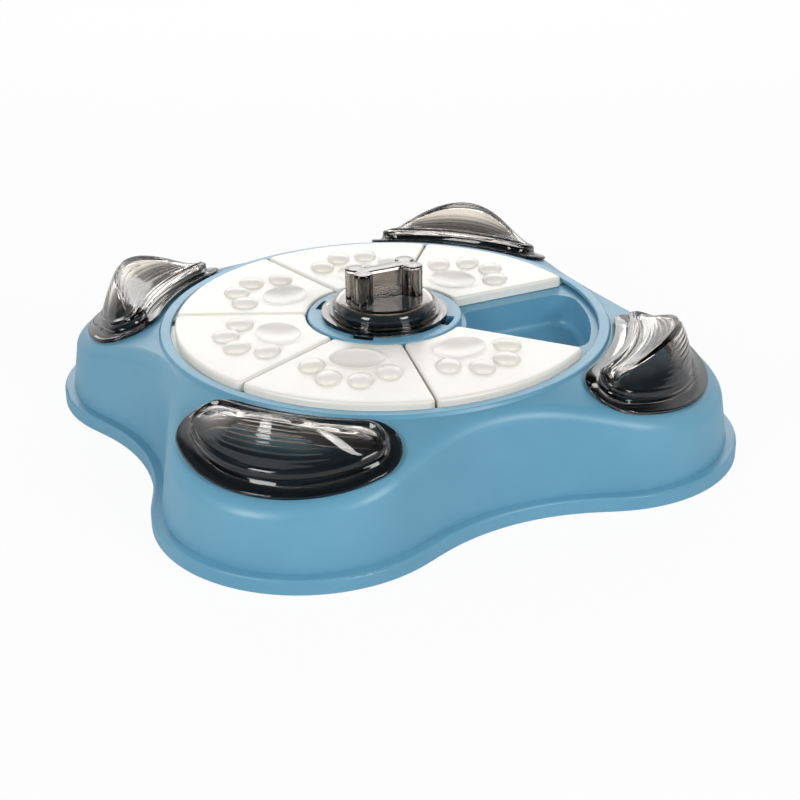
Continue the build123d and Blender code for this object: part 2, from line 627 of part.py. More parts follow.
def corner_cap():
    """Lift-off cap of a treat well, on +X: flange, boss with its fin, locating skirt."""
    under = roof_solid(-CAP_SEAT_GAP)
    flange = prism(kidney(0), 0, CREST_TOP) & roof_solid(-CAP_SEAT_GAP - CAP_FLANGE)
    boss = prism(kidney(BOSS_INSET), 0, BONE_TOP) & below(cap_top)
    room = prism(kidney(BOSS_INSET + CAP_WALL), 0, CREST_TOP)
    skirt_inset = WELL_INSET + SKIRT_CLEARANCE
    skirt = prism(kidney(skirt_inset) - kidney(skirt_inset + SKIRT_WALL), 0, CREST_TOP)
    skirt = (skirt & roof_solid(-CAP_SEAT_GAP - CAP_FLANGE)) - roof_solid(SKIRT_DEPTH)
    cap = flange + boss - under
    cap -= room & below(cap_underside)
    return cap + skirt


# ---------------------------------------------------------------- paw tiles
def lens(radius, height):
    """Low round dome that stands a little into the surface below it."""
    ball = (radius ** 2 + height ** 2) / (2 * height)
    dome = Pos(0, 0, height - ball) * Sphere(ball)
    return dome & prism(Circle(radius), -TOE_SINK, height)


def paw_tile():
    """One sliding tile about +X, with a paw dish, four toes and two trapped tongues.

    The inner tongue ends in a straight edge, which stands clear of the lugs of the knob.
    """
    plan = sector(TILE_INNER, TILE_OUTER, TILE_SIDE_GAP, TILE_CORNER, TILE_CORNER)
    plate = prism(plan, TILE_BOTTOM, TILE_TOP)
    plate = fillet(plate.faces().sort_by(Axis.Z)[-1].edges(), TILE_ROUND)
    plate -= prism(
        sector(
            TILE_INNER + TILE_SIDE_WALL,
            TILE_OUTER - TILE_SIDE_WALL,
            TILE_SIDE_GAP + TILE_SIDE_WALL,
            0,
            0,
        ),
        TILE_BOTTOM,
        TILE_TOP - TILE_TOP_WALL,
    )
    side = TILE_SIDE_GAP + TONGUE_SIDE
    outer_tongue = sector(TILE_OUTER - TILE_ROUND, COLLAR_INNER - TONGUE_CLEARANCE, side, 0, 0)
    inner_edge = Rectangle(TILE_OUTER, TILE_OUTER, align=(Align.MIN, Align.CENTER))
    inner_tongue = sector(RING_BORE, TILE_INNER + TILE_ROUND, side, 0, 0)
    inner_tongue &= Pos(NOTCH_OUTER + TONGUE_CLEARANCE, 0) * inner_edge
    plate += prism(outer_tongue, TILE_BOTTOM, TONGUE_TOP)
    plate += prism(inner_tongue, TILE_BOTTOM, TONGUE_TOP)
    dish = (PAD_RADIUS ** 2 + PAD_DEPTH ** 2) / (2 * PAD_DEPTH)
    plate -= Pos(PAD_REACH, 0, TILE_TOP - PAD_DEPTH + dish) * Sphere(dish)
    for out, across in (SIDE_TOE, FRONT_TOE):
        for side in (-1, 1):
            plate += Pos(PAD_REACH + out, side * across, TILE_TOP) * lens(TOE_RADIUS, TOE_HEIGHT)
    return plate


# ---------------------------------------------------------------- feet and screws
def foot_pad():
    """Rubber pad with a stem that plugs into the post of a lobe."""
    pad = prism(Circle(PAD_FOOT_RADIUS), 0, PAD_FOOT_HEIGHT)
    pad = fillet(pad.edges().group_by(Axis.Z)[0], PAD_FOOT_ROUND)
    pad += prism(Circle(PAD_STEM_RADIUS), PAD_FOOT_HEIGHT, STEM_TOP)
    return Pos(PAD_FOOT_REACH, 0) * pad


def screw(length):
    """Pan-head screw standing on its head, the seat of the head at height zero."""
    head = prism(Circle(HEAD_RADIUS), -HEAD_HEIGHT, 0)
    head = fillet(head.edges().group_by(Axis.Z)[0], HEAD_ROUND)
    cross = Rectangle(RECESS_LENGTH, RECESS_WIDTH) + Rectangle(RECESS_WIDTH, RECESS_LENGTH)
    head -= prism(cross, -HEAD_HEIGHT, RECESS_DEPTH - HEAD_HEIGHT)
    shank = prism(Circle(SHANK_RADIUS), 0, length)
    return head + chamfer(shank.edges().group_by(Axis.Z)[-1], SHANK_CHAMFER)


def screw_group(length, circle, seat, angles):
    """The same screw at several places round the axis, as separate solids."""
    return Compound([turned(Pos(circle, 0, seat) * screw(length), angle).solid() for angle in angles])


def build_parts():
    parts = {
        "base_shell": base_shell(),
        "treat_tray": treat_tray(),
        "hub_ring": hub_ring(),
        "center_knob": knob(),
        "tray_screws": screw_group(TRAY_SCREW_LENGTH, SCREW_CIRCLE, EAR_BOTTOM, screw_angles()),
        "hub_ring_screws": screw_group(
            HUB_SCREW_LENGTH, HUB_SCREW_CIRCLE, DECK_BOTTOM, hub_screw_angles()),
    }
    tile = paw_tile()
    for number, angle in enumerate(place_angles()[:-1], start=1):
        parts[f"paw_tile_{number}"] = turned(tile, angle)
    cap = corner_cap()
    pad = foot_pad()
    for corner, angle in zip(("back_right", "back_left", "front_left", "front_right"), lobe_angles()):
        parts[f"corner_cap_{corner}"] = turned(cap, angle)
        parts[f"foot_pad_{corner}"] = turned(pad, angle)
    return parts


if __name__ == "__main__":
    os.makedirs("parts", exist_ok=True)
    for name, shape in build_parts().items():
        export_step(shape, f"parts/{name}.step")
        print(name, round(shape.volume), "mm3")
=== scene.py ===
# %% [markdown]
# # A treat puzzle for dogs
# A lobed blue casing carries a round tray under sliding paw tiles, with a twist knob in
# the middle and four clear smoked caps on the lobes. The imported CAD model is the fixed
# frame: it gives every size and place here.

# %% Frame
import json
import math

import bmesh
import bpy
import numpy as np
from mathutils import Matrix, Vector
from mathutils.geometry import delaunay_2d_cdt


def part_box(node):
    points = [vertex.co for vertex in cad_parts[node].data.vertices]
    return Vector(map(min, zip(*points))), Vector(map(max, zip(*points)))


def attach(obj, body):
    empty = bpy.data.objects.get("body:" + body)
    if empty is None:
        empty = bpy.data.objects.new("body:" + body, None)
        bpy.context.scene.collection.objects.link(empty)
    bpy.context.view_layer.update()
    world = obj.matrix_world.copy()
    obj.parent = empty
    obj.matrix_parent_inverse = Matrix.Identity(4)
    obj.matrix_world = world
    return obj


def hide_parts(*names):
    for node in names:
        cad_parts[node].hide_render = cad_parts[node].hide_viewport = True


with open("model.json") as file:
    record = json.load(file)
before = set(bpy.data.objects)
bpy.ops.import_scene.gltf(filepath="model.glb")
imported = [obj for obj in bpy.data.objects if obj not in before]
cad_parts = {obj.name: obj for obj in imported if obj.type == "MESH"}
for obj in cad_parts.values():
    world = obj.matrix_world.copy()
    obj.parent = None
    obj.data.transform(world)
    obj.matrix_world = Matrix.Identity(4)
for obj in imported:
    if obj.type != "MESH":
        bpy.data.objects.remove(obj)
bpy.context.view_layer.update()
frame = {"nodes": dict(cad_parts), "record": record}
MM = 0.001
CORNERS = ("back_right", "back_left", "front_left", "front_right")
FIRST_LOBE = 45.0
PLACES = 7
PITCH = 360.0 / PLACES

# %% [markdown]
# ## Camera
# The camera looks down a little on the toy from its front left. A long lens from about
# 0.7 m keeps the disc a gentle ellipse. The direction is kept as two angles and a
# distance, so that it is easy to turn, and the lens shift moves the toy to its place in
# the picture without bending its perspective.

# %% Camera
AIM_HEIGHT = 50 * MM
VIEW_TURN = -25.36
VIEW_RAISE = 22.54
VIEW_ROLL = -0.90
VIEW_DISTANCE = 700.5 * MM
SENSOR = 36.0
LENS = 66.96
LENS_SHIFT = (0.0193, -0.1041)
NEAR_AND_FAR = (0.05, 20.0)


def direction(turn, raised):
    """Unit vector from the toy towards a camera or a lamp; both angles are 0 in front."""
    around, up = math.radians(turn), math.radians(raised)
    return Vector((
        math.sin(around) * math.cos(up),
        -math.cos(around) * math.cos(up),
        math.sin(up),
    ))


def add_object(name, data):
    made = bpy.data.objects.new(name, data)
    bpy.context.scene.collection.objects.link(made)
    return made


def add_camera():
    back = direction(VIEW_TURN, VIEW_RAISE)
    data = bpy.data.cameras.new("view")
    data.sensor_width = SENSOR
    data.lens = LENS
    data.shift_x, data.shift_y = LENS_SHIFT
    data.clip_start, data.clip_end = NEAR_AND_FAR
    camera = add_object("view", data)
    level = (-back).to_track_quat("-Z", "Y").to_matrix()
    roll = Matrix.Rotation(math.radians(VIEW_ROLL), 3, "Z")
    camera.matrix_world = (level @ roll).to_4x4()
    camera.location = Vector((0, 0, AIM_HEIGHT)) + back * VIEW_DISTANCE
    bpy.context.scene.camera = camera
    return camera


camera = add_camera()
print("camera at", [round(c, 3) for c in camera.location])

# %% [markdown]
# ## Node maths that reads like maths
# A finish is a small network of nodes. Written out node by node it hides the idea, so
# one class wraps a socket and lets ordinary operators add the Math nodes. Its `node`
# method adds any other node. The same class serves the Geometry Nodes trees below.

# %% Wire
class Wire:
    """One output socket of a node tree, on which sums and products can be written."""

    def __init__(self, tree, socket):
        self.tree = tree
        self.socket = socket

    def node(self, kind, settings=None, inputs=None, out=0):
        made = self.tree.nodes.new(kind)
        for name, value in (settings or {}).items():
            setattr(made, name, value)
        for name, value in (inputs or {}).items():
            if isinstance(value, Wire):
                self.tree.links.new(value.socket, made.inputs[name])
            else:
                made.inputs[name].default_value = value
        return Wire(self.tree, made.outputs[out])

    def maths(self, operation, first, second=0.0, clamp=False):
        settings = {"operation": operation, "use_clamp": clamp}
        return self.node("ShaderNodeMath", settings, {0: first, 1: second})

    def __add__(self, other):
        return self.maths("ADD", self, other)

    def __sub__(self, other):
        return self.maths("SUBTRACT", self, other)

    def __rsub__(self, other):
        return self.maths("SUBTRACT", other, self)

    def __mul__(self, other):
        return self.maths("MULTIPLY", self, other)

    def __truediv__(self, other):
        return self.maths("DIVIDE", self, other)

    def power(self, other):
        return self.maths("POWER", self, other)

    def clamped(self):
        return self.maths("ADD", self, 0.0, clamp=True)

    def fade(self, low, high):
        """0 below one value, 1 above the other, smooth between."""
        return self.node(
            "ShaderNodeMapRange",
            {"interpolation_type": "SMOOTHSTEP"},
            {"Value": self, "From Min": low, "From Max": high},
        )


class Finish:
    """A material with one Principled shader and the Object coordinates of its piece."""

    def __init__(self, name, colour, roughness, **constants):
        self.material = bpy.data.materials.new(name)
        self.material.use_nodes = True
        self.tree = self.material.node_tree
        self.shader = self.tree.nodes["Principled BSDF"]
        self.shader.inputs["Base Color"].default_value = (*colour, 1.0)
        self.shader.inputs["Roughness"].default_value = roughness
        for label, value in constants.items():
            self.shader.inputs[label.replace("_", " ")].default_value = value
        self.start = Wire(self.tree, None)
        self.places = self.start.node("ShaderNodeTexCoord", out="Object")

    def feed(self, name, wire):
        self.tree.links.new(wire.socket, self.shader.inputs[name])

    def noise(self, grains, detail=2.0):
        """Noise with so many grains in a metre."""
        inputs = {"Vector": self.places, "Scale": grains, "Detail": detail}
        return self.start.node("ShaderNodeTexNoise", None, inputs, out="Fac")

    def blend(self, share, first, second):
        """The base colour goes from the first to the second as the share grows."""
        settings = {"data_type": "RGBA"}
        inputs = {0: share, 6: (*first, 1.0), 7: (*second, 1.0)}
        self.feed("Base Color", self.start.node("ShaderNodeMix", settings, inputs, out=2))

    def vary_roughness(self, grains, least, spread):
        self.feed("Roughness", self.noise(grains) * spread + least)

    def bump(self, height, depth, strength):
        inputs = {"Height": height, "Distance": depth, "Strength": strength}
        self.feed("Normal", self.start.node("ShaderNodeBump", None, inputs))


print("shader maths ready")

# %% [markdown]
# ## Finishes
# - The casing, tray and hub ring are one satin polypropylene. Its mould was spark-eroded,
#   so it has a fine grain, and the colour drifts a little where the melt flowed.
# - The tiles are a creamy white with a smoother skin, a little waxy.
# - The caps and the thicker, darker knob are clear smoked styrene with polished faces.
#   Their darkness comes from the light lost inside the wall, so the shader is a tinted
#   clear one. A lit backdrop shows beige through it, and the casing goes nearly black.
#   The tint itself also paints light and shade: it is darker low down as painted shade,
#   and paler high up as painted light.
# - The feet are soft rubber and the screws zinc-plated steel.
#
# Real plastic is never one flat value: each finish moves its colour and its roughness
# a little with slow noise, and gets its grain from a Bump node.

# %% Finishes
BLUE = (0.148, 0.382, 0.535)
BLUE_DEEP = (0.126, 0.348, 0.500)
CREAM = (0.910, 0.890, 0.830)
CREAM_WARM = (0.880, 0.852, 0.770)
# the caps' smoke: dark low down as painted shade, nearly clear high up as painted light
SMOKE_LIT = (0.970, 0.925, 0.860)
SMOKE_SHADED = (0.150, 0.142, 0.140)
# the knob's smoke: darker low down as painted shade, paler on the grip's top as painted light
SMOKE_KNOB_LIT = (0.420, 0.385, 0.350)
SMOKE_KNOB_SHADED = (0.300, 0.270, 0.245)
RUBBER = (0.020, 0.020, 0.022)
ZINC = (0.560, 0.570, 0.590)
# heights over which the caps' painted shade turns into painted light, and noise that wobbles that
# line
SHADE_LINE_WOBBLE = 6.0 * MM
CAP_SHADE_TO_LIGHT = (47.5 * MM, 57.0 * MM)
# heights over which the knob's painted shade turns into painted light
KNOB_SHADE_TO_LIGHT = (55.0 * MM, 72.0 * MM)


def casing_finish():
    made = Finish("casing_blue", BLUE, 0.36, IOR=1.49)
    made.blend(made.noise(22.0, detail=3.0).fade(0.35, 0.70), BLUE, BLUE_DEEP)
    made.vary_roughness(60.0, least=0.31, spread=0.10)
    grain = made.noise(2600.0, detail=1.0) * 0.7 + made.noise(900.0, detail=1.0) * 0.3
    made.bump(grain, depth=0.03 * MM, strength=0.35)
    return made.material


def tile_finish():
    made = Finish(
        "tile_cream", CREAM, 0.30, IOR=1.50,
        Subsurface_Weight=0.08, Subsurface_Radius=(0.004, 0.003, 0.002),
    )
    made.blend(made.noise(35.0, detail=3.0).fade(0.40, 0.75), CREAM, CREAM_WARM)
    made.vary_roughness(80.0, least=0.26, spread=0.08)
    made.bump(made.noise(1500.0, detail=1.0), depth=0.02 * MM, strength=0.2)
    return made.material


def smoke_finish(name, shade_colour, light_colour, low, high):
    """Clear tinted plastic whose tint paints shade below one height and light above another."""
    made = Finish(name, shade_colour, 0.02, IOR=1.50, Transmission_Weight=1.0)
    height = made.start.node("ShaderNodeSeparateXYZ", None, {0: made.places}, out="Z")
    # noise wobbles the height where the painted shade turns into painted light
    wobble = (made.noise(30.0) - 0.5) * SHADE_LINE_WOBBLE
    made.blend((height + wobble).fade(low, high), shade_colour, light_colour)
    made.vary_roughness(120.0, least=0.01, spread=0.03)
    made.bump(made.noise(45.0, detail=1.0), depth=0.03 * MM, strength=0.10)
    return made.material


def rubber_finish():
    made = Finish("foot_rubber", RUBBER, 0.75)
    made.vary_roughness(400.0, least=0.65, spread=0.2)
    made.bump(made.noise(3000.0, detail=1.0), depth=0.05 * MM, strength=0.5)
    return made.material


def zinc_finish():
    made = Finish("screw_steel", ZINC, 0.35, Metallic=1.0)
    made.vary_roughness(900.0, least=0.25, spread=0.2)
    made.bump(made.noise(4000.0, detail=1.0), depth=0.01 * MM, strength=0.4)
    return made.material


FINISHES = {
    "casing_blue": casing_finish(),
    "tile_cream": tile_finish(),
    "smoked_plastic": smoke_finish(
        "smoked_plastic", SMOKE_SHADED, SMOKE_LIT, *CAP_SHADE_TO_LIGHT),
    "foot_rubber": rubber_finish(),
    "screw_steel": zinc_finish(),
}
for part in frame["record"]["subparts"]:
    node = frame["nodes"][part["node"]]
    node.data.materials.clear()
    node.data.materials.append(FINISHES[part["material_slot"]])
# the knob's smoke is painted shade low down and painted light on top of the grip
knob_smoke = smoke_finish("smoked_knob", SMOKE_KNOB_SHADED, SMOKE_KNOB_LIT, *KNOB_SHADE_TO_LIGHT)
frame["nodes"]["center_knob"].data.materials[0] = knob_smoke
print("finishes:", ", ".join(FINISHES), "and a darker smoke on the knob")

# %% [markdown]
# ## From points to pieces
# Every new piece is a plain mesh: points in metres, and faces as lists of corners. The
# helpers turn rows of points into a skin and mark the edges that stay crisp. An angle
# decides that: edges that fold more than it stay sharp, all others shade smoothly.

# %% Mesh helpers
def new_mesh(name, points, faces):
    mesh = bpy.data.meshes.new(name)
    mesh.from_pydata([tuple(p) for p in points], [], faces)
    return mesh


def finish_mesh(mesh, weld, crisp, dissolve=False):
    """Merges doubles, turns the normals out and keeps each fold over an angle crisp."""
    built = bmesh.new()
    built.from_mesh(mesh)
    bmesh.ops.remove_doubles(built, verts=built.verts, dist=weld)
    if dissolve:
        bmesh.ops.dissolve_degenerate(built, dist=weld, edges=built.edges)
    bmesh.ops.recalc_face_normals(built, faces=built.faces)
    for face in built.faces:
        face.smooth = True
    for edge in built.edges:
        edge.smooth = edge.calc_face_angle(0.0) < crisp
    built.to_mesh(mesh)
    built.free()


def place_piece(name, mesh, body, slot, *nodes):
    """Puts a mesh in the scene as a piece of one body, which stands for CAD nodes."""
    piece = add_object(name, mesh)
    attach(piece, body)
    if nodes:
        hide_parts(*nodes)
    return piece


def turned_mesh(mesh, name, degrees):
    made = mesh.copy()
    made.name = name
    made.transform(Matrix.Rotation(math.radians(degrees), 4, "Z"))
    return made


print("mesh helpers ready")

# %% [markdown]
# ## Paw tiles
# A tile is a shallow moulded box with a rounded top edge. A hollow dish stands for the
# ball of the paw and four low domes for its toes. One could cut the dish and add the
# domes with booleans, but that leaves ragged faces round each of them. Instead the top
# is one sheet of points: rings round every feature and a loose grid between them, joined
# by a Delaunay triangulation that keeps the rings as edges. Heights then follow a rule,
# so each dome meets the top in a clean line.

# %% Tile outline
TILE_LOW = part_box("paw_tile_1")[0].z
TILE_HIGH = 52.2 * MM
TILE_INNER = 37.0 * MM
TILE_OUTER = 98.0 * MM
TILE_GAP = 0.5 * MM
TILE_CORNER = 2.6 * MM
TILE_EDGE = 1.3 * MM
TILE_WALL = 2.6 * MM
TILE_ROOF = 2.8 * MM
ARC_POINTS = 26
SIDE_POINTS = 14
CORNER_POINTS = 7


def arc_points(centre, radius, start, stop, count):
    angles = np.radians(np.linspace(start, stop, count))
    return np.column_stack((
        centre[0] + radius * np.cos(angles),
        centre[1] + radius * np.sin(angles),
    ))


def tile_outline(inset):
    """Rounded sector about +X, moved in by a width; equal insets give equal corner centres."""
    half = math.radians(PITCH / 2)
    slope = math.degrees(half)
    normal = np.array([math.sin(half), -math.cos(half)])
    away = TILE_GAP + TILE_CORNER

    def on_side(radius):
        along = math.sqrt(radius ** 2 - away ** 2)
        return np.array([math.cos(half), math.sin(half)]) * along + normal * away

    outer_hub = on_side(TILE_OUTER - TILE_CORNER)
    inner_hub = on_side(TILE_INNER + TILE_CORNER)
    outer_turn = math.degrees(math.atan2(outer_hub[1], outer_hub[0]))
    inner_turn = math.degrees(math.atan2(inner_hub[1], inner_hub[0]))
    round_off = TILE_CORNER - inset
    rows = [
        arc_points((0, 0), TILE_OUTER - inset, 0, outer_turn, ARC_POINTS)[:-1],
        arc_points(outer_hub, round_off, outer_turn, slope + 90, CORNER_POINTS),
    ]
    first, last = rows[1][-1], inner_hub - normal * round_off
    rows.append(first + (last - first) * np.linspace(0, 1, SIDE_POINTS)[1:-1, None])
    rows.append(arc_points(inner_hub, round_off, slope + 90, inner_turn + 180, CORNER_POINTS))
    rows.append(arc_points((0, 0), TILE_INNER + inset, inner_turn, 0, ARC_POINTS // 2)[1:])
    upper = np.vstack(rows)
    lower = upper[1:-1][::-1] * (1, -1)
    return np.vstack((upper, lower))


print("tile outline:", len(tile_outline(0.0)), "points")

# %% [markdown]
# The toes are egg-shaped, a little longer towards the edge of the disc, and their sides
# rise steeply before the dome flattens. The dish is a part of a sphere with a soft lip.
# Both are plain functions of the distance from their centre, measured in their own
# half-widths, so that one line of maths gives the height anywhere on the sheet.

# %% Paw relief
DISH_PLACE = (54.0 * MM, 0.0)
DISH_HALF = (10.2 * MM, 12.4 * MM)
DISH_DEPTH = 1.9 * MM
DISH_CURVE = 0.9
DISH_LIP = 0.3 * MM
LIP_RING, LIP_SPREAD = 1.02, 0.07
TOE_PLACES = ((65.9 * MM, 17.2 * MM, 24), (76.4 * MM, 7.0 * MM, 8))
TOE_HALF = (6.5 * MM, 5.7 * MM)
TOE_HEIGHT = 2.7 * MM
TOE_STEEP = 2.6


def toes():
    """Centre and turn of each of the four toes."""
    return [(x, side * y, side * turn) for x, y, turn in TOE_PLACES for side in (-1, 1)]


def reach(points, centre, turn, half):
    """Distance from an oval's centre, where 1 is its edge."""
    angle = math.radians(turn)
    away = points - np.array(centre)
    along = away[:, 0] * math.cos(angle) + away[:, 1] * math.sin(angle)
    across = -away[:, 0] * math.sin(angle) + away[:, 1] * math.cos(angle)
    return np.hypot(along / half[0], across / half[1])


def oval(centre, turn, half, share, count):
    ring = arc_points((0, 0), 1.0, 0, 360, count + 1)[:-1] * share * np.array(half)
    angle = math.radians(turn)
    spin = np.array([[math.cos(angle), math.sin(angle)], [-math.sin(angle), math.cos(angle)]])
    return ring @ spin + np.array(centre)


def paw_height(points):
    height = np.zeros(len(points))
    dish = reach(points, DISH_PLACE, 0, DISH_HALF)
    inside = dish < 1
    height[inside] -= DISH_DEPTH * (1 - dish[inside] ** 2) ** DISH_CURVE
    height += DISH_LIP * np.exp(-((dish - LIP_RING) / LIP_SPREAD) ** 2)
    for x, y, turn in toes():
        toe = reach(points, (x, y), turn, TOE_HALF)
        inside = toe < 1
        dome = np.sqrt(np.maximum(0, 1 - toe[inside] ** TOE_STEEP))
        height[inside] = np.maximum(height[inside], TOE_HEIGHT * dome)
    return height


print("toes at", [(round(x / MM, 1), round(y / MM, 1)) for x, y, turn in toes()])

# %% [markdown]
# The sheet's points go in as rings: the rounded edge of the tile first, then each oval,
# then the grid. A point of the grid that falls too near a ring is left out, because
# slivers there would catch the light.

# %% Tile mesh
EDGE_STEPS = 5
TOE_RINGS = (1.0, 0.975, 0.93, 0.86, 0.75, 0.6, 0.4, 0.18)
DISH_RINGS = (1.12, 1.06, 1.0, 0.94, 0.86, 0.74, 0.6, 0.42, 0.2)
INSIDE_OUTLINE = 1
SHEET_TOLERANCE = 1e-7
DISH_POINTS = 44
TOE_POINTS = 32
GRID_STEP = 2.2 * MM
KEEP_OFF = 0.9 * MM
TILE_FOOT = 0.4 * MM
HOLLOW_INSET = TILE_WALL - 0.1 * MM
TILE_WELD = 1e-6
TILE_CRISP = math.radians(38)
TONGUE_POINTS = 20
TONGUE_SIDE = 3.0 * MM
TONGUE_HEIGHT = 1.0 * MM
# inner radius, outer radius and whether the inner edge is straight
TONGUES = ((33.6 * MM, 38.3 * MM, True), (96.7 * MM, 102.2 * MM, False))


def edge_rows():
    """Insets and drops of the rounded top edge, from the wall to the flat."""
    angles = [math.pi / 2 * k / EDGE_STEPS for k in range(EDGE_STEPS + 1)]
    return [(TILE_EDGE * (1 - math.cos(a)), TILE_EDGE * (1 - math.sin(a))) for a in angles]


def sheet_points():
    """Points of the top's flat middle, its border first, and the border's length."""
    border = tile_outline(TILE_EDGE)
    loops = [oval(DISH_PLACE, 0, DISH_HALF, share, DISH_POINTS) for share in DISH_RINGS]
    for x, y, turn in toes():
        loops += [oval((x, y), turn, TOE_HALF, share, TOE_POINTS) for share in TOE_RINGS]
    rings = np.vstack([border] + loops)
    reach_x = np.arange(TILE_INNER, TILE_OUTER, GRID_STEP)
    grid = np.array([
        (x, y) for x in reach_x
        for y in np.arange(-TILE_OUTER / 2, TILE_OUTER / 2, GRID_STEP)
    ])
    half = math.radians(PITCH / 2)
    away = TILE_GAP + TILE_EDGE + KEEP_OFF
    radius = np.hypot(grid[:, 0], grid[:, 1])
    side = grid[:, 0] * math.sin(half) - np.abs(grid[:, 1]) * math.cos(half)
    inside = (radius > TILE_INNER + away) & (radius < TILE_OUTER - away) & (side > away)
    grid = grid[inside]
    near = np.array([np.min(np.hypot(*(rings - p).T)) for p in grid])
    grid = grid[near > KEEP_OFF]
    return np.vstack((rings, grid)), len(border), [len(loop) for loop in loops]


def tile_top():
    """Points and triangles of the top, without the rounded edge."""
    points, border, loops = sheet_points()
    edges = [(k, (k + 1) % border) for k in range(border)]
    start = border
    for count in loops:
        edges += [(start + k, start + (k + 1) % count) for k in range(count)]
        start += count
    flat = [Vector(p) for p in points]
    outline = [list(range(border))]
    places, _, faces, *_ = delaunay_2d_cdt(
        flat, edges, outline, INSIDE_OUTLINE, SHEET_TOLERANCE)
    flat = np.array([tuple(p) for p in places])
    height = TILE_HIGH + paw_height(flat)
    return np.column_stack((flat, height)), [tuple(f) for f in faces]


def skin(loops, first=0):
    """Quads between loops of equal length, each closed on itself."""
    count = len(loops[0])
    faces = []
    for row in range(len(loops) - 1):
        low = first + row * count
        for k in range(count):
            after = (k + 1) % count
            faces.append((low + k, low + after, low + count + after, low + count + k))
    return faces


def tongue(inner, outer, low, high, straight):
    """The lip on a tile's end that runs under the rim or the hub ring."""
    half = PITCH / 2 - math.degrees((TILE_GAP + TONGUE_SIDE) / ((inner + outer) / 2))
    edge = arc_points((0, 0), inner, -half, half, TONGUE_POINTS)
    if straight:
        edge = edge * (inner / edge[:, :1])
    ring = np.vstack((edge, arc_points((0, 0), outer, half, -half, TONGUE_POINTS)))
    loops = [np.column_stack((ring, np.full(len(ring), z))) for z in (low, high)]
    count = len(ring)
    faces = skin(loops) + [tuple(range(count)), tuple(range(2 * count - 1, count - 1, -1))]
    return np.vstack(loops), faces


def tile_mesh():
    """The tile about +X: top sheet, rounded edge, walls, hollow underside and tongues."""
    top, faces = tile_top()
    loops = [
        np.column_stack((outline, np.full(len(outline), z)))
        for outline, z in
        [(tile_outline(inset), TILE_HIGH - drop) for inset, drop in reversed(edge_rows())]
        + [(tile_outline(0.0), TILE_LOW + TILE_FOOT), (tile_outline(TILE_FOOT), TILE_LOW)]
        + [(tile_outline(HOLLOW_INSET), TILE_LOW)]
        + [(tile_outline(HOLLOW_INSET), TILE_HIGH - TILE_ROOF)]
    ]
    points = [top, np.vstack(loops)]
    faces += skin(loops, len(top))
    count = len(loops[0])
    last = len(top) + (len(loops) - 1) * count
    faces.append(tuple(range(last, last + count)))
    size = len(top) + len(loops) * count
    for inner, outer, straight in TONGUES:
        lip, lip_faces = tongue(inner, outer, TILE_LOW, TILE_LOW + TONGUE_HEIGHT, straight)
        faces += [tuple(size + k for k in face) for face in lip_faces]
        points.append(lip)
        size += len(lip)
    mesh = new_mesh("paw_tile", np.vstack(points), faces)
    finish_mesh(mesh, TILE_WELD, TILE_CRISP, dissolve=True)
    mesh.materials.append(FINISHES["tile_cream"])
    return mesh


plain_tile = tile_mesh()
for number in range(1, PLACES):
    mesh = turned_mesh(plain_tile, f"tile_shell_{number}", PITCH * (number - 0.5))
    node = f"paw_tile_{number}"
    place_piece(f"tile_shell_{number}", mesh, f"tile_{number}", "tile_cream", node)
print("tile:", len(plain_tile.polygons), "faces, six tiles placed")

# %% [markdown]
# ## Recipes
# Where a detail repeats by a rule, Geometry Nodes make it, as with the growth ridges of
# the caps. A recipe is one such tree with named inputs. It runs on a start mesh and gives
# back a plain mesh, because the export keeps no instances.

# %% Recipe
class Recipe:
    """A Geometry Nodes tree with named inputs, which turns a start mesh into a finished one."""

    KINDS = {int: "NodeSocketInt", float: "NodeSocketFloat"}

    def __init__(self, name, **defaults):
        self.tree = bpy.data.node_groups.new(name, "GeometryNodeTree")
        sockets = self.tree.interface
        sockets.new_socket("Geometry", in_out="INPUT", socket_type="NodeSocketGeometry")
        for label, value in defaults.items():
            made = sockets.new_socket(label, in_out="INPUT", socket_type=self.KINDS[type(value)])
            made.default_value = value
        sockets.new_socket("Material", in_out="INPUT", socket_type="NodeSocketMaterial")
        sockets.new_socket("Geometry", in_out="OUTPUT", socket_type="NodeSocketGeometry")
        self.start = Wire(self.tree, None)
        self.inlet = self.tree.nodes.new("NodeGroupInput")

    def given(self, label):
        return Wire(self.tree, self.inlet.outputs[label])

    def stored(self, label):
        settings = {"data_type": "FLOAT"}
        return self.start.node("GeometryNodeInputNamedAttribute", settings, {"Name": label})

    def close(self, geometry):
        real = self.start.node("GeometryNodeRealizeInstances", None, {"Geometry": geometry})
        inputs = {"Geometry": real, "Material": self.given("Material")}
        painted = self.start.node("GeometryNodeSetMaterial", None, inputs)
        outlet = self.tree.nodes.new("NodeGroupOutput")
        self.tree.links.new(painted.socket, outlet.inputs["Geometry"])

    def run(self, mesh, slot):
        """The finished mesh, with the object and the modifier that made it taken away."""
        holder = add_object(mesh.name + "_start", mesh)
        modifier = holder.modifiers.new("recipe", "NODES")
        modifier.node_group = self.tree
        for item in self.tree.interface.items_tree:
            if item.in_out == "INPUT" and item.name == "Material":
                modifier[item.identifier] = FINISHES[slot]
        holder.update_tag()
        shape = holder.evaluated_get(bpy.context.evaluated_depsgraph_get())
        made = bpy.data.meshes.new_from_object(shape)
        made.name = mesh.name
        holder.modifiers.clear()
        bpy.data.objects.remove(holder)
        return made


print("recipes ready")

# %% [markdown]
# ## Smoked caps
# Each cap is one thin clear moulding: a flange that lies on the roof, a low upright boss,
# and a fin like half a clam shell that gives the dog's nose something to lift. Light
# bends twice in every wall, so the inside has to be real too. The skin is a stack of
# loops that starts under the crest, runs down the hollow inside, round the skirt and the
# edge of the flange, and climbs the boss to the crest again.
#
# All loops follow one kidney outline moved in by some inset. Its arcs keep their centres
# when it moves, so a loop only needs each point's centre and direction.

